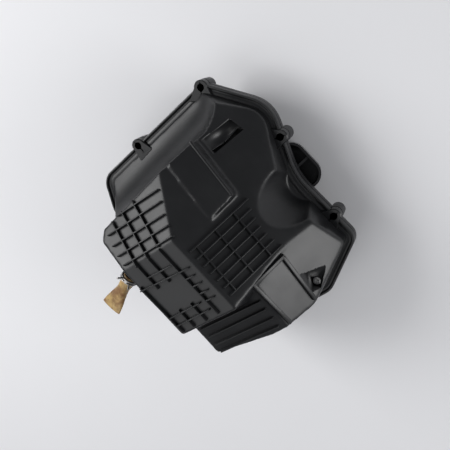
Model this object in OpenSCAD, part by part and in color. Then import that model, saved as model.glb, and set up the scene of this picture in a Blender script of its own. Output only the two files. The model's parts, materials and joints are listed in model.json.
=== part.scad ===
// Air filter housing for a small engine: upper case, lower cover, inlet duct,
// lift-out filter element, outlet boot with clamp and a drain tube with its clip.
// Millimetres, +Z up, resting on its four rubber feet.

/* [Case] */
// height of the case roof above the seam
roof_z = 105; // [98:1:112]
// moulded wall thickness
wall = 2.5; // [2:0.1:3.5]
// height of the stiffening ribs
rib_h = 3; // [1.5:0.1:4]
// thickness of the stiffening ribs
rib_w = 1.6; // [1.2:0.1:2.4]
// thickness of the case flange
flange_t = 4.5; // [3.5:0.1:5.5]
// height of the rim bead above the flange
bead_h = 1.8; // [1:0.1:3]
// radius of the long cove down one side
cove_r = 46; // [40:1:50]
// height of the cove axis above the seam
cove_z = 50; // [46:1:54]

/* [Cover] */
// depth of the cover below the seam
cover_depth = 44; // [40:1:50]
// how far the cover walls lean in, per millimetre of depth
cover_draft = 0.27; // [0:0.01:0.3]
// cover floor thickness
floor_t = 3; // [2.4:0.1:4]
// thickness of the cover flange
cover_flange_t = 5.5; // [4.5:0.1:7]
// height of the rubber feet
foot_h = 5; // [3:0.5:8]

/* [Screws] */
// screw shank radius
screw_r = 2.3; // [1.8:0.05:2.6]
// screw head radius
head_r = 4.5; // [3.8:0.1:5.5]
// radius of the screw bosses
boss_r = 6.2; // [5:0.1:7]
// length of the screw bosses below the seam
boss_len = 14; // [12:1:26]

/* [Inlet] */
// length of the inlet mouth
duct_l = 46; // [38:1:48]
// width of the inlet mouth
duct_w = 27; // [23:1:29]
// wall of the inlet duct
duct_t = 2.2; // [1.6:0.1:3]
// how far the mouth stops below the seam
duct_top = 14; // [9:1:18]
// outward lean of the duct
duct_lean = 17; // [0:1:20]
// depth of the duct below its mouth
duct_h = 29; // [22:1:30]

/* [Outlet] */
// outside radius of the outlet spigot
spigot_r = 17; // [15:0.5:18]
// bore radius of the boot where the engine spigot goes in
outlet_bore_r = 16; // [14:0.5:17]
// outside radius of the rubber boot
boot_r = 20; // [19:0.5:21]

/* [Element] */
// half width of the filter element
el_w = 56; // [48:1:56]
// top of the element above the seam
el_top = 62; // [50:1:62]
// depth of the element through the pleats
el_d = 20; // [14:1:22]
// number of pleats
pleats = 22; // [12:1:28]

/* [Drain] */
// outside radius of the drain tube
tube_r = 6; // [5.4:0.1:6.5]
// outside radius of the drain nipple
nipple_r = 4.4; // [3.8:0.1:4.8]
// length of the drain tube
tube_l = 42; // [34:1:46]
// width of the pinched tube end
tube_end_w = 19; // [14:1:22]

/* [Mounts] */
// bore radius of the steel mounting collars
collar_r = 3.2; // [2.6:0.1:3.6]

/* [Hidden] */
$fn = 48;
off_x = 3.7;
off_y = -2.4;
seam_h = cover_depth + foot_h;
gap = 0.5;
cov_top = -gap;
floor_z = -cover_depth + floor_t;
el_y = 19;
el_bot = floor_z + 3;
out_x = 10;
out_z = -21;
spig_y0 = -57;
spig_y1 = -88;
boot_y1 = -100;
duct_c = [6, 86];
duct_wall = 60;
tube_a = atan2(-0.98, 0.19);
tube_p = [-23.6, -46.5, 88];
lug_l = [-62, -92];
lug_r = [70, -88];
lug_z0 = -cover_depth;
lug_t = 7;
well = [[72, 47], [82, 61.5], [93, 47], [89.5, 40.5]];
well_z = 33;

// corners of the seam flange: x, y, corner radius
rim = [[-111.5, -58, 16], [-103, 80, 8], [-48.6, 113, 32], [10.4, 86, 60],
  [84, 88, 12], [107, 36, 20], [90, -72, 20], [-80, -77, 30]];
// screw ears: x, y, outward angle, half width of the root
ears = [[-100.5, 77.5, 140, 12], [-22.5, 99.5, 66, 13], [57.5, 86.3, 90, 14],
  [-107.2, -6, 180, 9], [98.5, -22, 351, 9], [40, -76, 272, 10], [-45, -77.5, 268, 10]];
// the four rubber feet
feet = [[-76, 60], [66, 56], [-66, -50], [62, -44]];

function unit(v) = v / norm(v);
function xy(c) = [c[0], c[1]];
function wrap(a) = a > 180 ? a - 360 : a < -180 ? a + 360 : a;
// points round one corner of the rim
function bend(a, b, c, n) =
  let(p = xy(b), u = unit(xy(a) - p), v = unit(xy(c) - p), h = acos(u * v) / 2,
    q = p + unit(u + v) * b[2] / sin(h), s = p + u * b[2] / tan(h) - q,
    e = p + v * b[2] / tan(h) - q, a0 = atan2(s[1], s[0]),
    da = wrap(atan2(e[1], e[0]) - a0))
  [for (i = [0 : n]) q + b[2] * [cos(a0 + da * i / n), sin(a0 + da * i / n)]];
// the rim corners moved inward by o
function inset(c, o) =
  let(n = len(c))
  [for (i = [0 : n - 1])
    let(d1 = unit(xy(c[i]) - xy(c[(i + n - 1) % n])),
      d2 = unit(xy(c[(i + 1) % n]) - xy(c[i])),
      n1 = [d1[1], -d1[0]], n2 = [d2[1], -d2[0]],
      k = d1[0] * d2[1] - d1[1] * d2[0],
      p = xy(c[i]) + (n1 + n2) * o / (1 + n1 * n2))
    [p[0], p[1], max(0.8, c[i][2] + (k > 0 ? o : -o))]];
function loop(c, n = 6) =
  let(m = len(c))
  [for (i = [0 : m - 1]) for (p = bend(c[(i + m - 1) % m], c[i], c[(i + 1) % m], n)) p];

module place() translate([off_x, off_y, seam_h]) children();
module rim_2d(o) polygon(loop(inset(rim, o)));
module rim_slab(o, z0, z1) translate([0, 0, z0]) linear_extrude(z1 - z0) rim_2d(o);

// everything under the plane through p with slopes a (along x) and b (along y)
module under(p, a, b, o = 0)
  translate([p[0], p[1], p[2] - o * sqrt(1 + a * a + b * b)])
    rotate([0, atan(sqrt(a * a + b * b)), atan2(-b, -a)])
      translate([-300, -300, -500]) cube([600, 600, 500]);
module face_a(o) under([0, 0, roof_z], 0, 0, o);
module face_d(o) under([0, 12.7, roof_z], 0, -1.04, o);
module face_b(o) under([-19, 11, roof_z], 0.428, -0.079, o);
module face_f(o) under([60, 25, roof_z - 25], -0.6, -0.95, o);
module face_g(o) under([60, 25, roof_z - 25], -0.297, 0.046, o);
// a band hugging one face from lo below to hi above it
module band(f, lo, hi) difference() {
  if (f == "a") face_a(-hi); else if (f == "b") face_b(-hi); else if (f == "d") face_d(-hi);
  else if (f == "f") face_f(-hi); else face_g(-hi);
  if (f == "a") face_a(lo); else if (f == "b") face_b(lo); else if (f == "d") face_d(lo);
  else if (f == "f") face_f(lo); else face_g(lo);
}
module seg(p, q, w = rib_w)
  translate([p[0], p[1], 0]) rotate([0, 0, atan2(q[1] - p[1], q[0] - p[0])])
    translate([0, -w / 2, 0]) cube([norm(q - p), w, 150]);

module cove(g) {
  r = cove_r + g;
  translate([-112, 62, cove_z]) rotate([90, 0, 0]) cylinder(r = r, h = 200);
  translate([-112, 62, cove_z]) sphere(r = r);
  translate([-112, 62, cove_z]) cylinder(r = r, h = 100);
  translate([-172, -138, cove_z]) cube([60 + r, 200, 100]);
}
module scallop(g)
  translate([19.5, 90, flange_t - 0.5 - (g > 0 ? wall : 0)])
    cylinder(r1 = 18 + g, r2 = 18 + g + 25, h = 100);

// the moulded body: o is how far it is moved inward from the outside skin
module tub(o, z0) difference() {
  intersection() {
    rim_slab(7 + o, z0, 120);
    union() {
      intersection() {
        face_a(o); face_d(o); face_b(o);
        under([0, -42, roof_z], 0, 2.7, o);
        under([-67, -38, roof_z - 17], 1.8, 1.21, o);
        under([54, 12.7, roof_z], -5.86, 1.31, o);
        under([53, 12.7, roof_z], -5.86, -2, o);
      }
      intersection() {
        face_g(o); face_f(o); face_d(o);
        under([49, -46, roof_z - 25], 0.32, 2.7, o);
        under([98.5, 13, roof_z - 37], -5.7, 1.86, o);
        translate([20, -150, -50]) cube([150, 300, 200]);
      }
    }
  }
  cove(o);
  scallop(o);
}

module ear_plate(z0, z1, pad)
  for (e = ears) translate([e[0], e[1], z0]) {
    cylinder(r = boss_r + 0.3, h = z1 - z0);
    rotate([0, 0, e[2]]) translate([0, 0, pad < 0 ? -pad : 0]) linear_extrude(z1 - z0 - abs(pad))
      polygon([[1.2, boss_r - 0.4], [-12, e[3]], [-12, -e[3]], [1.2, 0.4 - boss_r]]);
  }
module at_ears() for (e = ears) translate([e[0], e[1], 0]) children();
module tube_axis() translate(tube_p) rotate([0, 0, tube_a]) rotate([0, 90, 0]) children();

module ribs_a() intersection() {
  band("a", 1, rib_h);
  union() {
    seg([-22, -1.2], [47.8, -1.2]);
    seg([-22, -14.5], [3.6, -14.5]);
    seg([26.3, -14], [46, -14]);
    seg([-23, -27], [1.7, -27]);
    seg([24.1, -26.6], [43.5, -26.6]);
    seg([-10, -39.5], [41.3, -38]);
    seg([-7.3, -41.8], [5.3, 8.1]);
    seg([-11.3, -27.8], [-5.1, -1.2]);
    for (x = [10.1, 17.9, 25.6, 32.9]) seg([x, -2], [x + 2.3, 7]);
    seg([24.7, -39], [31.5, -6.5]);
    seg([33.4, -38.2], [40.2, -4]);
  }
}
module ribs_b() intersection() {
  band("b", 1, rib_h);
  union() {
    seg([-67.6, -35], [-55.5, 26.4]);
    seg([-58.7, -37.5], [-46.9, 23.3]);
    seg([-49.2, -38.5], [-37.7, 19.7]);
    seg([-40.2, -38.8], [-29.1, 17.9]);
    seg([-31.3, -38], [-20.6, 16.5]);
    seg([-71, -27], [-22, -27]);
    seg([-72, -14], [-21.5, -14]);
    seg([-69, -0.3], [-22, -0.3]);
  }
}
module ribs_d() intersection() {
  band("d", 1, rib_h);
  union() {
    for (i = [0 : 6]) seg([-2.9 + 7.6 * i, 15], [-2.9 + 7.6 * i, 61 - 3.2 * i + 0.42 * i * i]);
    for (y = [20, 34, 48.2]) seg([-3, y], [43, y - 0.6]);
  }
}
module ribs_g() intersection() {
  band("g", 1, rib_h);
  union() {
    seg([50, -42], [63.6, 19]);
    seg([59.5, -43], [71.6, 16]);
    seg([68.5, -46], [81.4, 14]);
    seg([76.4, -48], [90, 11]);
  }
}
module frame_f() intersection() {
  band("f", 1, 3.2);
  union() {
    seg([49.5, 27], [49.5, 52.5], 4);
    seg([48, 27], [95, 17.5], 3.6);
    seg([48, 51.5], [95.5, 38.5], 3.6);
  }
}
module wedge_d() intersection() {
  translate([0, 0, 30]) linear_extrude(80)
    polygon([[-67, 41], [-69, 63], [-12, 59], [-11, 37]]);
  difference() {
    under([-40, 36, roof_z - 22], 0, -0.72);
    face_d(1);
  }
}
module slot_d(g)
  translate([0, 0, 10]) linear_extrude(90)
    polygon([[-63 - g, 64.5 - g], [-48 + g, 64 - g], [-47 + g, 88 + g], [-61 - g, 86 + g]]);
module well_2d(g) offset(delta = g) polygon(well);

module case() color([0.1, 0.1, 0.11]) place() difference() {
  union() {
    difference() {
      union() {
        tub(0, 0);
        rim_slab(0, 0, flange_t);
        difference() {
          rim_slab(0, 0, flange_t + bead_h);
          rim_slab(2.4, -1, 20);
        }
        ear_plate(0, flange_t + 3, 0.5);
        tube_axis() translate([0, 0, -3]) cylinder(r = nipple_r, h = 17);
      }
      tub(wall, -1);
    }
    ribs_a(); ribs_b(); ribs_d(); ribs_g(); frame_f(); wedge_d();
    intersection() {
      translate([0, 0, well_z - wall]) linear_extrude(60) well_2d(wall);
      face_f(0.2);
      rim_slab(7, 0, 100);
    }
    intersection() {
      slot_d(2);
      band("d", 6, 0);
    }
  }
  translate([0, 0, well_z]) linear_extrude(60) well_2d(0);
  difference() {
    slot_d(0);
    face_d(4);
    seg([-53, 60], [-50, 74], 1.6);
    seg([-50, 73], [-52, 90], 1.6);
  }
  translate([87.2, 46.4, well_z - 5]) cylinder(r = 1.75, h = 20);
  tube_axis() translate([0, 0, -8]) cylinder(r = 2.8, h = 40);
  for (i = [0 : len(ears) - 1]) translate([ears[i][0], ears[i][1], -1])
    cylinder(r = screw_r + 0.35, h = i == 3 ? flange_t + 1.6 : 30);
}

// the drafted body of the cover between two heights, moved inward by g
module tray(g, z0, z1) {
  lo = loop(inset(rim, 7 + g - cover_draft * z0), 4);
  hi = loop(inset(rim, 7 + g - cover_draft * z1), 4);
  n = len(lo);
  difference() {
    polyhedron(
      points = concat([for (p = lo) [p[0], p[1], z0]], [for (p = hi) [p[0], p[1], z1]]),
      faces = concat([[for (i = [n - 1 : -1 : 0]) i]], [[for (i = [0 : n - 1]) n + i]],
        [for (i = [0 : n - 1]) [i, (i + 1) % n, n + (i + 1) % n]],
        [for (i = [0 : n - 1]) [i, n + (i + 1) % n, n + i]]));
    translate([duct_c[0] - duct_l / 2 - 5 - g, duct_wall - g, z0 - 1])
      cube([duct_l + 10 + 2 * g, 60, z1 - z0 + 2]);
  }
}
module neck(g, l) translate([duct_c[0], 0, -30]) {
  translate([-16 - g, duct_wall - l, -7 - g]) cube([32 + 2 * g, l + 13, 14 + 2 * g]);
}
// the outside of the cover's walls, and the room inside them
module pan() tray(0, -cover_depth, cov_top - 1);
module room() tray(wall, floor_z, 1);
module lug_bodies() for (l = [lug_l, lug_r]) {
  translate([l[0], l[1], lug_z0]) cylinder(r = 12, h = lug_t);
  translate([l[0] - 12, l[1], lug_z0]) cube([24, 36, lug_t]);
  translate([l[0] - 1.5, l[1] + 13, lug_z0]) cube([3, 22, 22]);
}
module cover() color([0.08, 0.08, 0.09]) place() difference() {
  union() {
    rim_slab(0, cov_top - cover_flange_t, cov_top);
    ear_plate(cov_top - cover_flange_t - 1, cov_top, 0.5);
    at_ears() translate([0, 0, -boss_len]) cylinder(r = boss_r, h = boss_len - 2);
    translate([out_x, spig_y0, out_z]) rotate([90, 0, 0])
      cylinder(r = spigot_r, h = spig_y0 - spig_y1);
  }
  pan();
  room();
  difference() {
    rim_slab(4.9, cov_top - 2, 5);
    rim_slab(7.3, -10, 10);
  }
  at_ears() translate([0, 0, -boss_len - 1]) cylinder(r = screw_r + 0.05, h = 40);
  translate([out_x, spig_y0 + 5, out_z]) rotate([90, 0, 0])
    cylinder(r = spigot_r - 2.2, h = 40);
}
module cover_wall() color([0.08, 0.08, 0.09]) place() difference() {
  pan();
  room();
  translate([-200, -200, -cover_depth - 10]) cube([400, 400, 10 + floor_t]);
  neck(duct_t + 0.05, 20);
  translate([out_x, spig_y0 + 12, out_z]) rotate([90, 0, 0])
    cylinder(r = spigot_r - 2.2, h = 40);
}
module cover_floor() color([0.08, 0.08, 0.09]) place() {
  difference() {
    pan();
    translate([-200, -200, floor_z]) cube([400, 400, 100]);
    for (f = feet) translate([f[0], f[1], -cover_depth - 1]) cylinder(r = 3, h = 10);
    translate([44, -30, -cover_depth - 1]) cylinder(r = 6, h = 10);
  }
  for (x = [-66, 66]) translate([x - 1, -38, floor_z - 1]) cube([2, 38, 6]);
}
module mount_lugs() color([0.08, 0.08, 0.09]) place() difference() {
  lug_bodies();
  pan();
  for (l = [lug_l, lug_r]) translate([l[0], l[1], lug_z0 - 1]) cylinder(r = 8, h = 20);
}

module seam_gasket() color([0.2, 0.2, 0.21]) place() difference() {
  rim_slab(5, cov_top - 2, cov_top + 0.2);
  rim_slab(7.2, -10, 10);
}
module screw(r, l, hr, hh) {
  translate([0, 0, -hh]) difference() {
    cylinder(r = hr, h = hh);
    for (a = [0, 90]) rotate([0, 0, a]) translate([-hr * 0.55, -0.5, -1])
      cube([hr * 1.1, 1, 1 + hh * 0.5]);
  }
  cylinder(r = r, h = l);
}
module cover_screws() color([0.72, 0.72, 0.7]) place()
  at_ears() translate([0, 0, -boss_len]) {
    screw(screw_r, boss_len + flange_t, head_r, 3);
  }
module rubber_feet() color([0.06, 0.06, 0.06]) place()
  for (f = feet) translate([f[0], f[1], -cover_depth]) rotate_extrude()
    polygon([[0, -foot_h], [7, -foot_h], [8, -foot_h + 1], [8, 0], [2.95, 0],
      [2.95, floor_t], [4.2, floor_t], [3.2, floor_t + 3], [0, floor_t + 3]]);

// the duct leans outward about the middle of its mouth
module lean() translate([duct_c[0], duct_c[1], -duct_top]) rotate([-duct_lean, 0, 0]) children();
module oval(o, z0, z1) lean() translate([0, 0, z0]) {
  for (s = [-1, 1]) translate([s * (duct_l - duct_w) / 2, 0, 0])
    cylinder(r = duct_w / 2 - o, h = z1 - z0);
  translate([-(duct_l - duct_w) / 2, -duct_w / 2 + o, 0])
    cube([duct_l - duct_w, duct_w - 2 * o, z1 - z0]);
}
module inlet_duct() color([0.11, 0.11, 0.12]) place() {
  difference() {
    union() {
      oval(0, -duct_h, 0);
      neck(duct_t, 8);
    }
    oval(duct_t, -duct_h + duct_t, 2);
    neck(0, 40);
  }
  lean() translate([-1.1, 1 - duct_w / 2, -duct_h + 1]) cube([2.2, duct_w - 2, duct_h - 3]);
}
module inlet_baffle() color([0.14, 0.14, 0.15]) place() {
  translate([duct_c[0] - 26, 44, floor_z]) cube([52, 2.2, 30]);
  for (s = [-1, 1]) translate([duct_c[0] + s * 24.9 - 1.1, 44, floor_z]) cube([2.2, 13.4, 22]);
  translate([duct_c[0], 46.2, floor_z + 30]) rotate([0, 90, 0]) difference() {
    cylinder(r = 6, h = 52, center = true);
    cylinder(r = 3.8, h = 60, center = true);
    translate([0, -10, -40]) cube([20, 20, 80]);
    translate([-20, 0, -40]) cube([40, 20, 80]);
  }
}
module el_box(g, z0, z1) translate([-el_w - g, el_y - el_d / 2 - g, z0])
  cube([2 * (el_w + g), el_d + 2 * g, z1 - z0]);
module partition() color([0.16, 0.16, 0.17]) place() difference() {
  intersection() {
    translate([-150, el_y - 4, -100]) cube([300, 8, 300]);
    union() {
      tray(wall, floor_z, -1);
      tub(wall + 0.8, -1.2);
    }
  }
  translate([-el_w - 0.5, el_y - 10, floor_z + 2.5]) cube([2 * el_w + 1, 20, 200]);
  translate([-el_w - 4.5, el_y - 1.6, floor_z + 0.4]) cube([2 * el_w + 9, 3.2, 200]);
}
module roof_baffle() color([0.16, 0.16, 0.17]) place() intersection() {
  difference() {
    translate([-48, el_y - 1.5, el_top + 1]) cube([100, 3, 100]);
    translate([-9, el_y - 5, el_top]) cube([18, 10, 14]);
  }
  tub(wall, 0);
}
module element_frame() color([0.75, 0.74, 0.7]) place() difference() {
  el_box(0, el_bot, el_top);
  translate([-el_w + 5, -50, el_bot + 5]) cube([2 * el_w - 10, 100, el_top - el_bot - 10]);
  for (s = [-1, 1]) translate([s * (el_w + 2), el_y, -100])
    translate([-3, -1.3, 0]) cube([6, 2.6, 300]);
  translate([-100, el_y - 1.3, el_bot - 1]) cube([200, 2.6, 2]);
  translate([-6, el_y - 1.5, el_top - 3]) cube([12, 3, 10]);
}
module element_pleats() color([0.86, 0.82, 0.68]) place() {
  w = 2 * el_w - 10;
  p = w / pleats;
  y0 = el_y - el_d / 2 + 2;
  y1 = el_y + el_d / 2 - 2;
  t = 0.8;
  translate([0, 0, el_bot + 5]) linear_extrude(el_top - el_bot - 10) polygon(concat(
    [for (i = [0 : 2 * pleats]) [-w / 2 + p * i / 2, i % 2 == 0 ? y0 : y1 - t]],
    [for (i = [2 * pleats : -1 : 0]) [-w / 2 + p * i / 2, i % 2 == 0 ? y0 + t : y1]]));
}
module element_seal() color([0.3, 0.3, 0.32]) place() {
  for (s = [-1, 1]) translate([s * (el_w + 1.5), el_y, el_bot - 2])
    translate([-2.5, -1.3, 0]) cube([5, 2.6, el_top - el_bot + 2]);
  translate([-el_w - 1, el_y - 1.3, el_bot - 2]) cube([2 * el_w + 2, 2.6, 3]);
}
module element_screen() color([0.7, 0.7, 0.7]) place() {
  y = el_y - el_d / 2;
  for (i = [0 : 10]) translate([-el_w + 4 + i * (2 * el_w - 9) / 10, y - 1, el_bot + 4])
    cube([1, 1, el_top - el_bot - 8]);
  for (i = [0 : 9]) translate([-el_w + 4, y - 1, el_bot + 4 + i * (el_top - el_bot - 9) / 9])
    cube([2 * el_w - 8, 1, 1]);
}
module element_pull() color([0.3, 0.3, 0.32]) place()
  translate([0, el_y, el_top - 3]) difference() {
    translate([-6, -1.5, 0]) cube([12, 3, 13]);
    translate([0, 3, 8.5]) rotate([90, 0, 0]) cylinder(r = 2.6, h = 6);
    translate([-13, -5, 4.2]) cube([8, 10, 20]);
    translate([5, -5, 4.2]) cube([8, 10, 20]);
  }

module out_axis(y) translate([out_x, y, out_z]) rotate([90, 0, 0]) children();
module outlet_funnel() color([0.15, 0.15, 0.16]) place() out_axis(0) rotate_extrude()
  polygon(concat([[spigot_r - 2.25, -spig_y1 - 1], [spigot_r - 2.25, -spig_y0 - wall - 1]],
    [for (i = [0 : 8]) [spigot_r + 1.2 - 3.45 * sin(90 - i * 11.25),
      -spig_y0 - 4 - wall - 8.5 * sin(i * 11.25)]],
    [for (i = [8 : -1 : 0]) [spigot_r - 0.2 - 3.7 * sin(90 - i * 11.25),
      -spig_y0 - 5 - wall - 8.8 * sin(i * 11.25)]],
    [[spigot_r - 3.9, -spig_y0 + 13], [spigot_r - 3.2, -spig_y0 + 14],
      [spigot_r - 3.2, -spig_y1 - 1]]));
module flame_screen() color([0.7, 0.68, 0.6]) place() out_axis(-79.9) {
  difference() {
    cylinder(r = spigot_r - 3.25, h = 2);
    translate([0, 0, -1]) cylinder(r = spigot_r - 4.8, h = 4);
  }
  for (a = [0, 90]) rotate([0, 0, a]) for (i = [-3 : 3])
    translate([-sqrt(pow(spigot_r - 4, 2) - 9 * i * i), 3 * i - 0.4, 0.6])
      cube([2 * sqrt(pow(spigot_r - 4, 2) - 9 * i * i), 0.8, 0.8]);
}
module outlet_boot() color([0.07, 0.07, 0.07]) place() difference() {
  union() {
    out_axis(-77) cylinder(r = boot_r, h = -boot_y1 - 77);
  }
  out_axis(-70) cylinder(r = spigot_r + 0.05, h = -spig_y1 - 70);
  out_axis(-80) cylinder(r = outlet_bore_r - 1.2, h = 40);
  out_axis(spig_y1 - 2) cylinder(r = outlet_bore_r, h = 40);
}
module boot_band() color([0.72, 0.73, 0.74]) place() difference() {
  union() {
    out_axis(-91.5) cylinder(r = boot_r + 1, h = 7);
    translate([out_x + boot_r - 1, -98.5, out_z + 1.6]) cube([9.5, 7, 2.4]);
    translate([out_x + boot_r - 1, -98.5, out_z - 4]) cube([9.5, 7, 2.4]);
  }
  out_axis(-80) cylinder(r = boot_r, h = 60);
  translate([out_x + 5, -110, out_z - 1.6]) cube([40, 40, 3.2]);
  translate([out_x + boot_r + 4.6, -95, out_z - 10]) cylinder(r = 1.6, h = 20);
}
module band_screw() color([0.78, 0.76, 0.7]) place()
  translate([out_x + boot_r + 4.6, -95, out_z]) {
    translate([0, 0, 4.3]) difference() {
      cylinder(r = 3, h = 2.4);
      translate([-4, -0.45, 1.4]) cube([8, 0.9, 3]);
    }
    translate([0, 0, -8]) cylinder(r = 1.55, h = 13);
  }
module mount_grommets() color([0.06, 0.06, 0.06]) place()
  for (l = [lug_l, lug_r]) translate([l[0], l[1], lug_z0]) rotate_extrude()
    polygon([[5, -2], [10, -2], [10, 0], [7.95, 0], [7.95, lug_t], [10, lug_t],
      [10, lug_t + 2], [5, lug_t + 2]]);
module mount_collars() color([0.75, 0.75, 0.76]) place()
  for (l = [lug_l, lug_r]) translate([l[0], l[1], lug_z0]) difference() {
    union() {
      translate([0, 0, -2.4]) cylinder(r = 4.95, h = lug_t + 4.4);
      translate([0, 0, lug_t + 2]) cylinder(r = 8, h = 1.4);
    }
    translate([0, 0, -5]) cylinder(r = collar_r, h = 30);
  }
module floor_plug() color([0.06, 0.06, 0.06]) place()
  translate([44, -30, -cover_depth]) rotate_extrude()
    polygon([[0, -1.6], [9, -1.6], [9, 0], [5.95, 0], [5.95, floor_t], [7, floor_t],
      [6, floor_t + 3], [0, floor_t + 3]]);
module pocket_screw() color([0.6, 0.6, 0.6]) place()
  translate([87.2, 46.4, well_z]) rotate([180, 0, 0]) screw(1.7, 9, 3.4, 2.4);

module drain_tube() color([0.83, 0.62, 0.3]) place() tube_axis() difference() {
  union() {
    translate([0, 0, 5.4]) cylinder(r = tube_r, h = 11);
    translate([0, 0, 16]) cylinder(r1 = tube_r, r2 = tube_r - 0.8, h = 5);
    translate([0, 0, 21]) hull() {
      cylinder(r = tube_r - 0.8, h = 0.2);
      translate([-1.9, -tube_end_w / 2, tube_l - 23.5]) cube([3.8, tube_end_w, 0.2]);
    }
    translate([-1.9, -tube_end_w / 2, tube_l - 2.5]) cube([3.8, tube_end_w, 4.5]);
  }
  translate([0, 0, 0]) cylinder(r = nipple_r + 0.3, h = 16);
  translate([0, 0, 15]) cylinder(r = 3.6, h = 7);
  translate([0, 0, 21]) hull() {
    cylinder(r = 3.6, h = 0.2);
    translate([-0.6, -tube_end_w / 2 + 2, tube_l - 20]) cube([1.2, tube_end_w - 4, 0.2]);
  }
  translate([-0.6, -tube_end_w / 2 + 2, tube_l - 4]) cube([1.2, tube_end_w - 4, 9]);
}
module drain_clip() color([0.75, 0.75, 0.76]) place() tube_axis() {
  for (z = [7, 9.2]) translate([0, 0, z]) rotate_extrude()
    translate([tube_r + 1.15, 0, 0]) circle(r = 0.8, $fn = 24);
  for (z = [7, 9.2]) translate([0, 0, z]) rotate([0, z == 7 ? -90 : -90, z == 7 ? 28 : -28])
    translate([0, 0, 0]) translate([0, 0, tube_r + 0.9]) cylinder(r = 0.8, h = 7, $fn = 24);
  translate([-tube_r - 1.15, 0, 8.1]) cube([1.2, 2.4, 3], center = true);
}

cover();
cover_wall();
cover_floor();
mount_lugs();
case();
seam_gasket();
cover_screws();
rubber_feet();
inlet_duct();
inlet_baffle();
partition();
roof_baffle();
element_frame();
element_pleats();
element_seal();
element_screen();
element_pull();
outlet_funnel();
flame_screen();
outlet_boot();
boot_band();
band_screw();
mount_grommets();
mount_collars();
floor_plug();
pocket_screw();
drain_tube();
drain_clip();
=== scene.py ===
# %% [markdown]
# An air filter housing is two plastic mouldings screwed together round a flat seam. The packed
# model already holds every part at its real size, so it is loaded first and never moved. The
# looks are then built around it, piece by piece, in the same frame and in metres.

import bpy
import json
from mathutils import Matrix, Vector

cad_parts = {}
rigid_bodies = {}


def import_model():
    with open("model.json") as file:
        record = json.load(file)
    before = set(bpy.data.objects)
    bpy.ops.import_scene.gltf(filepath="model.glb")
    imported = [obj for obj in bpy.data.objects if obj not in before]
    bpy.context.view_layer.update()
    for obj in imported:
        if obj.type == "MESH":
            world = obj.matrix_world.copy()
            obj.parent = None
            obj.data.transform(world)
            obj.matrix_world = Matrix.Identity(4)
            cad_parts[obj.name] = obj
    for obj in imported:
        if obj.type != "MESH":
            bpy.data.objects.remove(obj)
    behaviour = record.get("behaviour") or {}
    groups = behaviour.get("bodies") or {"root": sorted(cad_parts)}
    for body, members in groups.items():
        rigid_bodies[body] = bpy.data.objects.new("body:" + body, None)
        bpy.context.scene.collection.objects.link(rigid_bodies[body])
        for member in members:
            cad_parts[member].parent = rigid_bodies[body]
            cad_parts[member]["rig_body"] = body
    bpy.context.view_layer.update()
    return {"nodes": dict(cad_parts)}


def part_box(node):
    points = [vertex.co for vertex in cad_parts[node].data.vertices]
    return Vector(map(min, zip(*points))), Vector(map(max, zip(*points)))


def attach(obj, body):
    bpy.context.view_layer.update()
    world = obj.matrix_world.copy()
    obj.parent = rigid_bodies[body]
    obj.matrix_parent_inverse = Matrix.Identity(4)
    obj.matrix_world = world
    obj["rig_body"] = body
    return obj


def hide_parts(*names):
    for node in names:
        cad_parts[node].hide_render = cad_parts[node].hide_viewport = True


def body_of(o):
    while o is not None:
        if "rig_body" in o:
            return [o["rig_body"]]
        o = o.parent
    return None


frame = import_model()

import json
import math
import bmesh
import bpy
from mathutils import Matrix, Vector

# %% [markdown]
# The maker's drawing of this housing counts from the seam: millimetres, z = 0 on the joint
# between the two mouldings. One small function turns a drawing point into a place in the frame.
# The seam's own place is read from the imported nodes, so that both always agree.

# %% Drawing points to places
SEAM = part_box("case")[0].z


def at(x, y, z=0.0):
    return Vector(((x + 3.7) / 1000, (y - 2.4) / 1000, SEAM + z / 1000))


mm = 0.001
print("seam height", round(SEAM, 4))

# %% [markdown]
# The camera comes early, so that every later step can be looked at. It stands high on the
# inlet side and is rolled, so the housing lies diagonally in the view. The direction is
# written as a tilt and a roll, and the camera's axes are worked out from them.

# %% Camera
tilt, roll, reach = math.radians(28), math.radians(47), 0.62
toward = Vector((0, math.sin(tilt), math.cos(tilt)))
level = Vector((1, 0, 0))
rise = Vector((0, math.cos(tilt), -math.sin(tilt)))
right = level * math.cos(roll) + rise * math.sin(roll)
up = rise * math.cos(roll) - level * math.sin(roll)
camera_data = bpy.data.cameras.new("camera")
camera_data.sensor_width = 36
camera_data.lens = 53.912
camera_data.clip_start = 0.02
camera = bpy.data.objects.new("camera", camera_data)
turn = Matrix((right, up, toward)).transposed().to_4x4()
camera.matrix_world = Matrix.Translation(at(0, 0, 0) + toward * reach) @ turn
bpy.context.scene.collection.objects.link(camera)
bpy.context.scene.camera = camera
print("camera at", [round(c, 3) for c in camera.location])

# %% [markdown]
# Finishes are node trees. Writing them as expressions keeps them readable: `Wire` wraps a
# socket, and its operators add the Math nodes. Every other node comes from `Finish.node`,
# which sets the node's options first and its inputs after.


# %% A small language for finishes
class Wire:
    def __init__(self, finish, socket):
        self.finish, self.socket = finish, socket

    def maths(self, kind, a, b=None):
        ends = {0: a} if b is None else {0: a, 1: b}
        return self.finish.node("ShaderNodeMath", {"operation": kind}, ends)

    def __add__(self, other):
        return self.maths("ADD", self, other)

    __radd__ = __add__

    def __sub__(self, other):
        return self.maths("SUBTRACT", self, other)

    def __rsub__(self, other):
        return self.maths("SUBTRACT", other, self)

    def __mul__(self, other):
        return self.maths("MULTIPLY", self, other)

    __rmul__ = __mul__

    def clamp(self):
        return self.maths("MAXIMUM", self.maths("MINIMUM", self, 1.0), 0.0)


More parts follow.
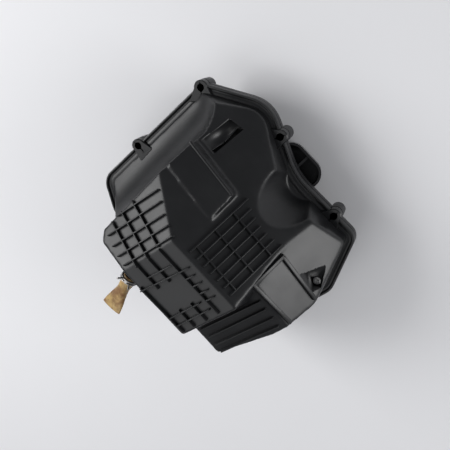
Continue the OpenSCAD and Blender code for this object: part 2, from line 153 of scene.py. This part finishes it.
class Finish:
    def __init__(self, name):
        self.material = bpy.data.materials.new(name)
        self.material.use_nodes = True
        self.tree = self.material.node_tree
        self.shader = self.tree.nodes["Principled BSDF"]

    def node(self, kind, settings=None, inputs=None, out=0):
        made = self.tree.nodes.new(kind)
        for key, value in (settings or {}).items():
            if key == "stops":
                ramp = made.color_ramp
                while len(ramp.elements) < len(value):
                    ramp.elements.new(0.5)
                for stop, (place, colour) in zip(ramp.elements, value):
                    stop.position = place
                    stop.color = colour if len(colour) == 4 else (*colour, 1)
            else:
                setattr(made, key, value)
        for key, value in (inputs or {}).items():
            if isinstance(value, Wire):
                self.tree.links.new(value.socket, made.inputs[key])
            else:
                made.inputs[key].default_value = value
        return Wire(self, made.outputs[out])

    def place(self, scale=(1, 1, 1), turn=(0, 0, 0)):
        spot = self.node("ShaderNodeTexCoord", out=3)
        return self.node("ShaderNodeMapping", {}, {0: spot, "Scale": scale, "Rotation": turn})

    def noise(self, size, detail=4, rough=0.55, where=None):
        where = where or self.place()
        return self.node("ShaderNodeTexNoise", {},
                         {"Vector": where, "Scale": size, "Detail": detail, "Roughness": rough})

    def ramp(self, value, *stops):
        grey = [(p, (c, c, c, 1) if isinstance(c, (int, float)) else c) for p, c in stops]
        return self.node("ShaderNodeValToRGB", {"stops": grey}, {0: value})

    def mix(self, amount, a, b):
        def rgba(c):
            return c if isinstance(c, Wire) else (*c[:3], 1)
        return self.node("ShaderNodeMix", {"data_type": "RGBA"},
                         {0: amount, 6: rgba(a), 7: rgba(b)}, out=2)

    def bump(self, height, strength, distance):
        return self.node("ShaderNodeBump", {},
                         {"Height": height, "Strength": strength, "Distance": distance})

    def wear(self, **sockets):
        for key, value in sockets.items():
            end = self.shader.inputs[key.replace("_", " ")]
            if isinstance(value, Wire):
                self.tree.links.new(value.socket, end)
            else:
                end.default_value = value
        return self.material


print("a finish is ready to be written, with", Finish.node.__name__, "for every other node")

# %% [markdown]
# The mouldings are black polypropylene. The tool leaves a very fine spark grain, handling
# leaves faint pale scuffs and dust, and the plastic is satin: rough enough to spread a
# highlight and smooth enough to show one. Grain is bump, scuffs are colour and roughness.


# %% Moulded black plastic
def moulded_plastic(name, colour, dust=0.2, satin=0.40, grain=0.2):
    f = Finish(name)
    cloud = f.noise(22, 5, 0.6)
    fine = f.noise(1900, 2, 0.6)
    streak = f.noise(60, 6, 0.7, f.place((1, 9, 1), (0, 0, 0.5)))
    scuff = f.ramp(streak, (0.56, 0), (0.74, 1))
    speck = f.ramp(f.noise(650, 1, 0.5), (0.70, 0), (0.78, 1))
    film = (f.ramp(cloud, (0.42, 0), (0.75, 1)) * 0.5 + scuff * 0.35 + speck * 0.5) * dust
    pale = tuple(c * 2.4 + 0.02 for c in colour)
    f.wear(Base_Color=f.mix(film.clamp(), colour, pale),
           Roughness=(satin + (cloud - 0.5) * 0.22 + film * 0.25).clamp(),
           Normal=f.bump(fine * 0.25 + cloud * 0.75, grain, 0.00005))
    f.wear(IOR=1.37)
    return f.material


black_case = moulded_plastic("black_case_plastic", (0.0085, 0.0088, 0.0095), 0.22, 0.34)
black_cover = moulded_plastic("black_cover_plastic", (0.008, 0.008, 0.009), 0.2, 0.40)
dark_insert = moulded_plastic("dark_insert_plastic", (0.022, 0.022, 0.023), 0.25, 0.5)
pale_frame = moulded_plastic("pale_frame_plastic", (0.42, 0.40, 0.35), 0.2, 0.5)
gloss_duct = moulded_plastic("glossy_duct_plastic", (0.012, 0.012, 0.013), 0.3, 0.3, 0.12)
print("plastics:", sorted(m.name for m in bpy.data.materials))

# %% [markdown]
# Rubber is blacker and duller than the plastic, with a slight bloom. Plated steel is a metal
# with fine scratches and a few dull spots. Filter paper is a resin-stiffened felt, so it gets
# fibres from a stretched noise. The drain tube is clear vinyl that years of oil mist turned
# amber. Its brown stains gather near the nipple and at the pinched end; here they are noise patches
# spread along the whole tube.


# %% Rubber, steel, paper and aged vinyl
def rubber(name, colour, rough=0.7):
    f = Finish(name)
    bloom = f.noise(40, 4, 0.6)
    f.wear(Base_Color=f.mix(f.ramp(bloom, (0.45, 0), (0.8, 0.5)), colour,
                            tuple(c * 2 + 0.03 for c in colour)),
           Roughness=(rough + (bloom - 0.5) * 0.3).clamp(),
           Normal=f.bump(f.noise(900, 2, 0.5), 0.3, 0.0002))
    return f.material


def plated_steel(name, colour, rough=0.3):
    f = Finish(name)
    line = f.noise(300, 3, 0.6, f.place((1, 12, 12)))
    spot = f.ramp(f.noise(120, 4, 0.7), (0.58, 0), (0.7, 1))
    f.wear(Base_Color=f.mix(spot * 0.6, colour, (0.16, 0.13, 0.10)),
           Roughness=(rough + line * 0.2 + spot * 0.3).clamp(),
           Normal=f.bump(line, 0.15, 0.0001))
    f.wear(Metallic=1.0)
    return f.material


def filter_paper():
    f = Finish("filter_paper")
    fibre = f.noise(500, 5, 0.7, f.place((1, 1, 6)))
    soil = f.ramp(f.noise(18, 4, 0.6), (0.4, 0), (0.8, 1))
    f.wear(Base_Color=f.mix(soil * 0.5, (0.62, 0.52, 0.33), (0.30, 0.24, 0.15)),
           Roughness=(0.85 + fibre * 0.1).clamp(), Normal=f.bump(fibre, 0.5, 0.0003))
    return f.material


soft_black = rubber("soft_black_rubber", (0.012, 0.012, 0.012))
seal_foam = rubber("seal_foam", (0.06, 0.06, 0.065), 0.85)
zinc = plated_steel("zinc_plated_steel", (0.56, 0.56, 0.55))
spring_wire = plated_steel("spring_wire_steel", (0.42, 0.41, 0.40), 0.26)
paper = filter_paper()
print("finishes:", len(bpy.data.materials))

# %% [markdown]
# The outline of the seam is a few corners with big radii, one of them hollow. Moving the
# corners inward and rounding them again gives every ring that runs parallel to the seam:
# the rim, its groove, and the wall of the body.

# %% Rings parallel to the seam
RIM = [(-111.5, -58, 16), (-103, 80, 8), (-48.6, 113, 32), (10.4, 86, 60),
       (84, 88, 12), (107, 36, 20), (90, -72, 20), (-80, -77, 30)]


def ring(inward, steps=10):
    corners = [Vector(c[:2]) for c in RIM]
    moved, count = [], len(RIM)
    for i, c in enumerate(corners):
        a = (c - corners[i - 1]).normalized()
        b = (corners[(i + 1) % count] - c).normalized()
        na, nb = Vector((a.y, -a.x)), Vector((b.y, -b.x))
        hollow = a.cross(b) > 0
        moved.append((c + (na + nb) * inward / (1 + na.dot(nb)),
                      max(0.8, RIM[i][2] + (inward if hollow else -inward))))
    points = []
    for i, (c, r) in enumerate(moved):
        u = (moved[i - 1][0] - c).normalized()
        v = (moved[(i + 1) % count][0] - c).normalized()
        half = math.acos(max(-1, min(1, u.dot(v)))) / 2
        centre = c + (u + v).normalized() * r / math.sin(half)
        start = c + u * r / math.tan(half) - centre
        end = c + v * r / math.tan(half) - centre
        sweep = start.angle_signed(end)
        for k in range(steps + 1):
            t = -sweep * k / steps
            points.append(centre + Matrix.Rotation(t, 2) @ start)
    # long straight stretches get points as well, so that shading stays even
    full = []
    for i, p in enumerate(points):
        q = points[(i + 1) % len(points)]
        full.append(p)
        if i % (steps + 1) == steps:
            full += [p.lerp(q, k / 8) for k in range(1, 8)]
    return full


def loop_edges(bm, points):
    dots = [bm.verts.new(p) for p in points]
    return [bm.edges.new((a, b)) for a, b in zip(dots, dots[1:] + dots[:1])]


def skin_rings(bm, loops, closed=False):
    """Joins rings of points, each to the next, into one skin."""
    hoops = [loop_edges(bm, points) for points in loops]
    pairs = list(zip(hoops, hoops[1:])) + ([(hoops[-1], hoops[0])] if closed else [])
    for a, b in pairs:
        bmesh.ops.bridge_loops(bm, edges=a + b)
    return hoops


def finished(bm, name, body, finish, turn_out=True, smooth=40):
    """Puts a bmesh into the scene as a piece that rides on a body."""
    bmesh.ops.remove_doubles(bm, verts=bm.verts, dist=1e-6)
    if turn_out:
        bmesh.ops.recalc_face_normals(bm, faces=bm.faces)
    mesh = bpy.data.meshes.new(name)
    bm.to_mesh(mesh)
    bm.free()
    piece = bpy.data.objects.new(name, mesh)
    bpy.context.scene.collection.objects.link(piece)
    mesh.materials.append(finish)
    mesh.shade_smooth()
    if smooth:
        mesh.set_sharp_from_angle(angle=math.radians(smooth))
    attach(piece, body)
    return piece


outline = ring(0)
print("points round the seam:", len(outline))

# %% [markdown]
# The five big faces of the case are planes. Each is kept as a point and two slopes, so its
# height is known anywhere: the flat roof, the long slope to the inlet side, the slope to the
# cove, the step at the far end and the corner that falls away beside it.

# %% The faces of the case
FACES = {
    "roof": ((0, 0, 105), 0, 0),
    "slope": ((0, 12.7, 105), 0, -1.04),
    "cheek": ((-19, 11, 105), 0.428, -0.079),
    "step": ((60, 25, 80), -0.297, 0.046),
    "corner": ((60, 25, 80), -0.6, -0.95),
    "back": ((0, -42, 105), 0, 2.7),
    "bevelled": ((-67, -38, 88), 1.8, 1.21),
    "end": ((54, 12.7, 105), -5.86, 1.31),
    "shoulder": ((53, 12.7, 105), -5.86, -2),
    "step_back": ((49, -46, 80), 0.32, 2.7),
    "step_end": ((98.5, 13, 68), -5.7, 1.86),
}


def height(face, x, y):
    (px, py, pz), a, b = FACES[face]
    return pz + a * (x - px) + b * (y - py)


def outward(face):
    _, a, b = FACES[face]
    return Vector((-a, -b, 1)).normalized()


def on(face, x, y):
    return at(x, y, height(face, x, y))


print("slope meets the rim at", round(height("slope", 0, 80), 1))

# %% [markdown]
# The skin starts as a tall slab in the shape of the seam. Cutting it with each plane leaves a
# block with flat faces, as a carver would rough it out. Two blocks are joined, the cove and
# the scallop are scooped out, and the result is remeshed and smoothed, which rounds every
# edge by a couple of millimetres as a moulding tool does. Last, the bottom is opened and the
# skin gets its wall.


# %% Carve the case body
def prism(corners, z0, z1):
    """Fills an outline at height z0 and extrudes it up to z1."""
    bm = bmesh.new()
    edges = loop_edges(bm, [at(x, y, z0) for x, y in corners])
    base = bmesh.ops.contextual_create(bm, geom=edges)["faces"]
    top = bmesh.ops.extrude_face_region(bm, geom=base)["geom"]
    lift = [g for g in top if isinstance(g, bmesh.types.BMVert)]
    bmesh.ops.translate(bm, verts=lift, vec=(0, 0, (z1 - z0) * mm))
    return bm


def slab(inward, z0, z1):
    bm = prism([tuple(p) for p in ring(inward)], z0, z1)
    bmesh.ops.recalc_face_normals(bm, faces=bm.faces)
    return bm


def cut(bm, point, normal):
    """Takes away what lies beyond a plane and closes the cut."""
    geom = bm.verts[:] + bm.edges[:] + bm.faces[:]
    out = bmesh.ops.bisect_plane(bm, geom=geom, dist=1e-7, plane_co=point,
                                 plane_no=normal, clear_outer=True)
    rim = [g for g in out["geom_cut"] if isinstance(g, bmesh.types.BMEdge)]
    if rim:
        bmesh.ops.contextual_create(bm, geom=rim)


def raw(bm, name):
    """A working piece, only for modifiers; it is gone before the end."""
    bmesh.ops.recalc_face_normals(bm, faces=bm.faces)
    mesh = bpy.data.meshes.new(name)
    bm.to_mesh(mesh)
    bm.free()
    piece = bpy.data.objects.new(name, mesh)
    bpy.context.scene.collection.objects.link(piece)
    return piece


def applied(piece):
    """The mesh with its modifiers worked in, as a new bmesh; the piece goes."""
    got = piece.evaluated_get(bpy.context.evaluated_depsgraph_get())
    bm = bmesh.new()
    bm.from_mesh(got.to_mesh())
    got.to_mesh_clear()
    bpy.data.objects.remove(piece)
    return bm


def carve(piece, tool, kind):
    """Joins a tool to a piece or cuts it out, and removes the tool."""
    change = piece.modifiers.new("carve", "BOOLEAN")
    change.operation, change.solver, change.object = kind, "EXACT", tool
    bm = applied(piece)
    bpy.data.objects.remove(tool)
    return raw(bm, "rough_case")


def box(x0, x1, y0, y1, z0, z1):
    bm = bmesh.new()
    size = Vector((x1 - x0, y1 - y0, z1 - z0)) * mm
    spot = Matrix.Translation(at((x0 + x1) / 2, (y0 + y1) / 2, (z0 + z1) / 2))
    bmesh.ops.create_cube(bm, size=1, matrix=spot @ Matrix.Diagonal((*size, 1)))
    return bm


main = slab(7, -8, 112)
for name in ("roof", "slope", "cheek", "back", "bevelled", "end", "shoulder"):
    cut(main, at(*FACES[name][0]), outward(name))
step = slab(7.02, -8, 111)
cut(step, at(20, 0, 0), Vector((-1, 0, 0)))
for name in ("step", "corner", "slope", "step_back", "step_end"):
    cut(step, at(*FACES[name][0]), outward(name))
rough = carve(raw(main, "main"), raw(step, "step"), "UNION")
print("carved block:", len(rough.data.polygons), "faces")

# %% [markdown]
# The wedge that stands proud of the slope is part of the same moulding, so it joins the block
# before the remesh. The cove is a capsule lying along one side, the scallop a cone that makes
# room for the inlet, and two pockets are cut in the slopes.

# %% Wedge, cove, scallop and pockets
wedge = prism([(-67, 41), (-69, 63), (-12, 59), (-11, 37)], 30, 110)
cut(wedge, at(-40, 36, 83), Vector((0, 0.72, 1)).normalized())
rough = carve(rough, raw(wedge, "wedge"), "UNION")

COVE = 46 * mm
lying, standing = Matrix.Rotation(math.pi / 2, 4, "X"), Matrix.Identity(4)
cove = bmesh.new()
bmesh.ops.create_uvsphere(cove, u_segments=96, v_segments=48, radius=COVE,
                          matrix=Matrix.Translation(at(-112, 62, 50)))
rough = carve(rough, raw(cove, "cove_end"), "DIFFERENCE")
for length, spin, spot in ((200, lying, (-112, -38, 50)), (100, standing, (-112, 62, 100))):
    tool = bmesh.new()
    bmesh.ops.create_cone(tool, cap_ends=True, segments=96, radius1=COVE, radius2=COVE,
                          depth=length * mm, matrix=Matrix.Translation(at(*spot)) @ spin)
    rough = carve(rough, raw(tool, "cove_tool"), "DIFFERENCE")
rough = carve(rough, raw(box(-172, -66, -138, 62, 50, 150), "cove_wall"), "DIFFERENCE")
scoop = bmesh.new()
bmesh.ops.create_cone(scoop, cap_ends=True, segments=96, radius1=18 * mm, radius2=43 * mm,
                      depth=100 * mm, matrix=Matrix.Translation(at(19.5, 90, 54)))
rough = carve(rough, raw(scoop, "scoop"), "DIFFERENCE")
print("after carving:", len(rough.data.polygons), "faces")

# %% [markdown]
# A moulding has no razor edges. A bevel fails on a block with so many crossing cuts, so the
# block is remeshed in small cubes and smoothed a few times, which rounds all edges alike. The
# two pockets are cut after that, because their edges are the sharp ones on this moulding.

# %% Round it as a mould does
WALL = 2.4 * mm
shrink = rough.modifiers.new("voxels", "REMESH")
shrink.mode, shrink.voxel_size = "VOXEL", 1.35 * mm
case_bm = applied(rough)
for i in range(5):
    bmesh.ops.smooth_vert(case_bm, verts=case_bm.verts, factor=0.5,
                          use_axis_x=True, use_axis_y=True, use_axis_z=True)

rough = raw(case_bm, "rounded_case")
well = prism([(72, 47), (82, 61.5), (93, 47), (89.5, 40.5)], 33, 100)
rough = carve(rough, raw(well, "well"), "DIFFERENCE")
slot = prism([(-63, 64.5), (-48, 64), (-47, 88), (-61, 86)], 0, 110)
floor_cut = -outward("slope")
cut(slot, on("slope", 0, 40) + floor_cut * 4 * mm, floor_cut)
rough = carve(rough, raw(slot, "slot"), "DIFFERENCE")
case_bm = applied(rough)
geom = case_bm.verts[:] + case_bm.edges[:] + case_bm.faces[:]
bmesh.ops.bisect_plane(case_bm, geom=geom, dist=1e-7, plane_co=at(0, 0, 0.2),
                       plane_no=(0, 0, -1), clear_outer=True)
bmesh.ops.recalc_face_normals(case_bm, faces=case_bm.faces)
print("skin faces", len(case_bm.faces))
case_skin = finished(case_bm, "case_skin", "upper", black_case, False, 0)
wall = case_skin.modifiers.new("wall", "SOLIDIFY")
wall.thickness, wall.offset, wall.use_rim = WALL, -1, True
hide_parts("case")

# %% [markdown]
# The rim is a constant section swept round the seam: a flat bottom, a raised outer bead, a
# groove, and an inner shoulder that meets the body. A list of (inward, height) pairs is the
# section, and each pair becomes one ring.


# %% Rim of the case
RIM_SECTION = [(0.4, 0), (0, 0.5), (0, 5.4), (0.35, 6.1), (0.9, 6.3), (1.6, 6.2), (2.1, 5.7),
               (2.5, 4.6), (3.0, 4.2), (4.2, 4.2), (4.8, 4.7), (7.4, 5.0), (9.3, 4.6), (9.3, 0)]
rim_bm = bmesh.new()
skin_rings(rim_bm, [[at(p.x, p.y, z) for p in ring(o)] for o, z in RIM_SECTION], True)
rim = finished(rim_bm, "case_rim", "upper", black_case, True, 35)
print("rim faces:", len(rim.data.polygons))

# %% [markdown]
# Each screw ear is a lug with a wide root and a rounded tip, pierced for the screw. The same
# ring-joining makes it: an outer ring found by marching round the lug's outline, a hole ring
# with as many points, and skins between them.

# %% Screw ears
EAR_TOP, SCREW_HOLE, FAR = 7.5, 2.65, 99
EARS = [(-100.5, 77.5, 140, 12), (-22.5, 99.5, 66, 13), (57.5, 86.3, 90, 14),
        (-107.2, -6, 180, 9), (98.5, -22, 351, 9), (40, -76, 272, 10), (-45, -77.5, 268, 10)]


def ear_outline(x, y, angle, half, grow=0.0, count=64):
    turn = Matrix.Rotation(math.radians(angle), 2)
    tip, root, r = (1.0, 5.9 + grow), (-12.0 - grow, half + grow), 6.4 + grow
    # the flank runs from the tip to the root, and the root is a straight line
    nx, ny = (root[1] - tip[1]), (tip[0] - root[0])
    c = nx * tip[0] + ny * tip[1]
    points = []
    for i in range(count):
        t = 2 * math.pi * i / count
        d = Vector((math.cos(t), math.sin(t)))
        far = r
        facing = nx * d.x + ny * abs(d.y)
        flank = c / max(1e-6, facing) if facing > 0 else FAR
        if d.x < 0.2:
            far = max(r, min(flank, root[0] / d.x if d.x < -0.02 else FAR))
        points.append(Vector((x, y)) + turn @ (d * far))
    return points


def ear_piece(bm, ear, z0, z1, hole):
    x, y = ear[0], ear[1]
    turn = math.radians(ear[2])
    circle = [Vector((x + hole * math.cos(turn + 2 * math.pi * i / 64),
                      y + hole * math.sin(turn + 2 * math.pi * i / 64))) for i in range(64)]
    full, slim = ear_outline(*ear), ear_outline(*ear, grow=-0.7)

    def lift(points, z):
        return [at(p.x, p.y, z) for p in points]

    skin_rings(bm, [lift(slim, z0), lift(full, z0 + 0.6), lift(full, z1 - 0.8), lift(slim, z1),
                    lift([Vector((x, y)) + (p - Vector((x, y))) * 1.25 for p in circle], z1),
                    lift(circle, z1 - 0.6), lift(circle, z0)], True)


ears_bm = bmesh.new()
for ear in EARS:
    ear_piece(ears_bm, ear, 0, EAR_TOP, SCREW_HOLE)
x, y = EARS[3][:2]
bmesh.ops.create_cone(ears_bm, cap_ends=True, segments=48, radius1=3.2 * mm, radius2=3.0 * mm,
                      depth=2.2 * mm, matrix=Matrix.Translation(at(x, y, 6.4)))
finished(ears_bm, "case_ears", "upper", black_case, True, 35)
print("ears:", len(EARS))

# %% [markdown]
# The ribs are thin blades that stiffen the flat faces. A blade starts as a cube laid along
# its line, standing on its face, with a slight draft so that it leaves the mould, and its
# edges are bevelled. All the ribs of one face are one piece.


# %% Stiffening ribs
def soften(bm, offset, segments):
    bmesh.ops.bevel(bm, geom=bm.edges[:], offset=offset * mm, offset_type="OFFSET",
                    segments=segments, profile=0.5, affect="EDGES", material=-1,
                    clamp_overlap=True)


def blade(bm, face, p, q, wide, tall, sink):
    a, b = on(face, *p), on(face, *q)
    n, along = outward(face), (b - a).normalized()
    side = n.cross(along)
    turn = Matrix((along, side, n)).transposed().to_4x4()
    middle = (a + b) / 2 + n * (tall - sink) / 2 * mm
    size = Matrix.Diagonal(((b - a).length, wide * mm, (tall + sink) * mm, 1))
    made = bmesh.ops.create_cube(bm, size=1, matrix=Matrix.Translation(middle) @ turn @ size)
    top = [v for v in made["verts"] if (v.co - middle).dot(n) > 0]
    centre = middle + n * (tall + sink) / 2 * mm
    for v in top:
        off = v.co - centre
        v.co = centre + along * off.dot(along) * (1 - 1.2 * mm / (b - a).length) \
            + side * off.dot(side) * 0.72


def rib_set(name, face, lines, wide=1.6, tall=3.0, sink=1.2):
    bm = bmesh.new()
    for p, q in lines:
        blade(bm, face, p, q, wide, tall, sink)
    soften(bm, 0.35, 2)
    print(name, "has", len(lines), "blades")
    return finished(bm, name, "upper", black_case, True, 40)


rib_set("ribs_roof", "roof", [
    ((-22, -1.2), (47.8, -1.2)), ((-22, -14.5), (3.6, -14.5)), ((26.3, -14), (46, -14)),
    ((-23, -27), (1.7, -27)), ((24.1, -26.6), (43.5, -26.6)), ((-10, -39.5), (41.3, -38)),
    ((-7.3, -41.8), (5.3, 8.1)), ((-11.3, -27.8), (-5.1, -1.2)),
    ((24.7, -39), (31.5, -6.5)), ((33.4, -38.2), (40.2, -4))] + [
    ((x, -2), (x + 2.3, 7)) for x in (10.1, 17.9, 25.6, 32.9)])
rib_set("ribs_cheek", "cheek", [
    ((-64.6, -20), (-55.5, 26.4)), ((-58.7, -37.5), (-46.9, 23.3)),
    ((-49.2, -38.5), (-37.7, 19.7)), ((-40.2, -38.8), (-29.1, 17.9)),
    ((-31.3, -38), (-20.6, 16.5)), ((-65.2, -27), (-22, -27)),
    ((-65.2, -14), (-21.5, -14)), ((-65.2, -0.3), (-22, -0.3))])
rib_set("ribs_slope", "slope", [
    ((-2.9 + 7.6 * i, 15), (-2.9 + 7.6 * i, 61 - 3.2 * i + 0.42 * i * i)) for i in range(7)] + [
    ((-3, y), (43, y - 0.6)) for y in (20, 34, 48.2)])
rib_set("ribs_step", "step", [
    ((50, -42), (63.6, 19)), ((59.5, -43), (71.6, 16)),
    ((68.5, -46), (81.4, 14)), ((76.4, -48), (90, 11))])
rib_set("corner_frame", "corner", [
    ((49.5, 27), (49.5, 52.5)), ((48, 27), (95, 17.5)), ((48, 51.5), (95.5, 38.5))], 4.2, 3.4)

# %% [markdown]
# The wedge ends in a rounded lip, a bar along its lower edge. The slot beside it has a thin
# fin that bends once, which is two more blades, sunk into the face.

# %% Lip of the wedge and fin of the slot
lip_bm = bmesh.new()
a, b = at(-67.5, 61.9, 64.0), at(-13.2, 58.1, 66.7)
spine = (b - a).normalized()
roll_to = Vector((1, 0, 0)).rotation_difference(spine).to_matrix().to_4x4()
bmesh.ops.create_cube(lip_bm, size=1, matrix=Matrix.Translation((a + b) / 2) @ roll_to
                      @ Matrix.Diagonal(((b - a).length, 2.4 * mm, 2.4 * mm, 1)))
soften(lip_bm, 0.9, 4)
finished(lip_bm, "wedge_lip", "upper", black_case, True, 50)
rib_set("slot_fin", "slope", [((-53, 60.5), (-50, 74)), ((-50, 74), (-52, 86))], 1.5, -0.6, 5.0)

# %% [markdown]
# The rest of the nodes are right as they are packed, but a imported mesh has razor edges, and
# nothing real does. A copy of each is merged, its flat faces are joined, and a live Bevel
# takes a fraction of a millimetre off every sharp edge so that it catches the light.

# %% Ease the edges of the other nodes
def eased(node, finish, slot_name, width, segments=2):
    source = frame["nodes"][node]
    bm = bmesh.new()
    bm.from_mesh(source.data)
    bmesh.ops.remove_doubles(bm, verts=bm.verts, dist=2e-6)
    bmesh.ops.dissolve_limit(bm, angle_limit=math.radians(0.6), verts=bm.verts, edges=bm.edges)
    body = body_of(source)[0]
    piece = finished(bm, node + "_eased", body, finish, False, 35)
    soft = piece.modifiers.new("edge", "BEVEL")
    soft.width, soft.segments, soft.limit_method = width * mm, segments, "ANGLE"
    soft.angle_limit, soft.use_clamp_overlap = math.radians(35), True
    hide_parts(node)
    return piece


EASED = [
    ("cover", black_cover, "black_plastic", 0.4), ("cover_wall", black_cover, "black_plastic", 0.4),
    ("cover_floor", black_cover, "black_plastic", 0.4),
    ("mount_lugs", black_cover, "black_plastic", 0.4), ("seam_gasket", seal_foam, "foam", 0.2),
    ("cover_screws", zinc, "steel", 0.2), ("rubber_feet", soft_black, "rubber", 0.5),
    ("inlet_duct", gloss_duct, "black_plastic", 0.5),
    ("inlet_baffle", dark_insert, "dark_plastic", 0.3),
    ("partition", dark_insert, "dark_plastic", 0.3),
    ("roof_baffle", dark_insert, "dark_plastic", 0.3),
    ("element_frame", pale_frame, "frame_plastic", 0.6),
    ("element_pleats", paper, "paper", 0.15, 1), ("element_seal", seal_foam, "foam", 0.4),
    ("element_pull", seal_foam, "foam", 0.4), ("outlet_funnel", dark_insert, "dark_plastic", 0.3),
    ("outlet_boot", soft_black, "rubber", 0.8, 3), ("boot_band", zinc, "steel", 0.15),
    ("band_screw", zinc, "steel", 0.15), ("mount_grommets", soft_black, "rubber", 0.5),
    ("mount_collars", zinc, "steel", 0.25), ("floor_plug", soft_black, "rubber", 0.4),
    ("pocket_screw", zinc, "steel", 0.25)]
for row in EASED:
    eased(*row)
print("eased nodes:", len(EASED))

# %% [markdown]
# The two wire screens and the clip are fine round wire already. They are shown as packed, and
# only get their finish.


# %% Dress the wire parts
def dress(node, finish):
    mesh = frame["nodes"][node].data
    mesh.materials.clear()
    mesh.materials.append(finish)


for node in ("element_screen", "flame_screen"):
    dress(node, zinc)
dress("drain_clip", spring_wire)
print("spring wire on", frame["nodes"]["drain_clip"].name)

# %% [markdown]
# The drain tube is a short length of soft clear tube pushed on the nipple, necked where the
# clip grips it, and pressed flat at its end, which has set into a flared, slightly twisted
# duckbill. It is skinned from oval rings, outside first and then inside.


# %% Aged drain tube
def aged_vinyl():
    f = Finish("aged_clear_vinyl")
    stain = f.ramp(f.noise(75, 5, 0.65), (0.40, 0), (0.56, 1))
    speck = f.ramp(f.noise(260, 3, 0.6), (0.60, 0), (0.68, 1))
    tint = f.mix(stain * 0.9, (0.66, 0.47, 0.19), (0.26, 0.11, 0.03))
    f.wear(Base_Color=f.mix(speck * 0.5, tint, (0.10, 0.05, 0.03)),
           Roughness=(0.28 + stain * 0.3).clamp(),
           Normal=f.bump(f.noise(180, 4, 0.6), 0.35, 0.0006))
    f.wear(IOR=1.5, Transmission_Weight=0.45, Subsurface_Weight=0.15,
           Subsurface_Radius=(0.004, 0.002, 0.001))
    return f.material


vinyl = aged_vinyl()
tube_start = at(-23.6, -46.5, 88)
tube_along = Vector((0.19, -0.98, 0)).normalized()
tube_side = Vector((0, 0, 1)).cross(tube_along).normalized()


def oval_ring(s, wide, thick, twist, count=48):
    """An oval of points round the tube's axis, s millimetres along it."""
    up_axis = Vector((0, 0, 1))
    points = []
    for i in range(count):
        t = 2 * math.pi * i / count
        a, b = wide * math.cos(t), thick * math.sin(t)
        ca, sa = math.cos(twist), math.sin(twist)
        points.append(tube_start + tube_along * s * mm
                      + tube_side * (a * ca - b * sa) * mm + up_axis * (a * sa + b * ca) * mm)
    return points


outside = [(5.4, 5.7, 5.7, 0), (5.8, 6, 6, 0), (9, 6, 6, 0), (13, 6, 6, 0), (16, 5.7, 5.5, 0),
           (20, 5.3, 4.9, 0.02), (24, 5.8, 4.2, 0.04), (29, 6.9, 3.3, 0.07),
           (34, 8.2, 2.6, 0.1), (39, 9.1, 2.1, 0.12), (42, 9.4, 1.9, 0.12),
           (43.8, 9.5, 1.8, 0.12), (44.0, 9.4, 1.6, 0.12)]
tube_bm = bmesh.new()
inside = [(s, w - 1.2, max(0.5, t - 1.2), k) for s, w, t, k in outside]
skin_rings(tube_bm, [oval_ring(*r) for r in outside + inside[::-1]], True)
tube_piece = finished(tube_bm, "drain_tube_skin", "tube", vinyl, True, 50)
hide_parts("drain_tube")

# the nipple of the case shows at the mouth of the tube
nipple_bm = bmesh.new()
skin_rings(nipple_bm, [oval_ring(s, r, r, 0) for s, r in (
    (-4, 4.4), (13.4, 4.4), (14, 3.9), (14, 2.9), (-4, 2.9))], True)
finished(nipple_bm, "drain_nipple", "upper", black_case, True, 40)
print("tube rings:", len(outside), "outside and", len(inside), "inside")

# %% [markdown]
# The stage is a pale table top. A big soft light stands on the left, as a window does. A
# weaker large one hangs high behind the outlet side, a third stands low on the far side and
# picks out the rim, and a pale world fills the shadows.

# %% Floor and light
table = Finish("pale_table")
grain = table.noise(12, 4, 0.6)
table.wear(Base_Color=table.mix(grain * 0.25, (0.66, 0.66, 0.675), (0.61, 0.61, 0.62)),
           Roughness=0.75)
floor_bm = bmesh.new()
bmesh.ops.create_grid(floor_bm, x_segments=2, y_segments=2, size=3.0)
floor_mesh = bpy.data.meshes.new("floor")
floor_bm.to_mesh(floor_mesh)
floor_bm.free()
floor = bpy.data.objects.new("floor", floor_mesh)
bpy.context.scene.collection.objects.link(floor)
floor_mesh.materials.append(table.material)


def soft_light(name, place, size, power, tint=(1, 1, 1)):
    lamp = bpy.data.lights.new(name, "AREA")
    lamp.shape, lamp.size, lamp.energy, lamp.color = "SQUARE", size, power, tint
    thing = bpy.data.objects.new(name, lamp)
    aim = (Vector((0, 0, 0.08)) - Vector(place)).to_track_quat("-Z", "Y")
    thing.matrix_world = Matrix.Translation(place) @ aim.to_matrix().to_4x4()
    bpy.context.scene.collection.objects.link(thing)


soft_light("window", (-0.80, -0.42, 0.85), 0.72, 12)
soft_light("ceiling", (0.10, -0.60, 1.15), 0.9, 4.2)
soft_light("far_window", (0.84, 0.78, 0.42), 0.6, 9)
world = bpy.data.worlds.new("room")
world.use_nodes = True
world.node_tree.nodes["Background"].inputs[0].default_value = (0.93, 0.95, 1.0, 1)
world.node_tree.nodes["Background"].inputs[1].default_value = 0.28
bpy.context.scene.world = world
bpy.context.scene.view_settings.view_transform = "Standard"
print("lights:", len(bpy.data.lights))
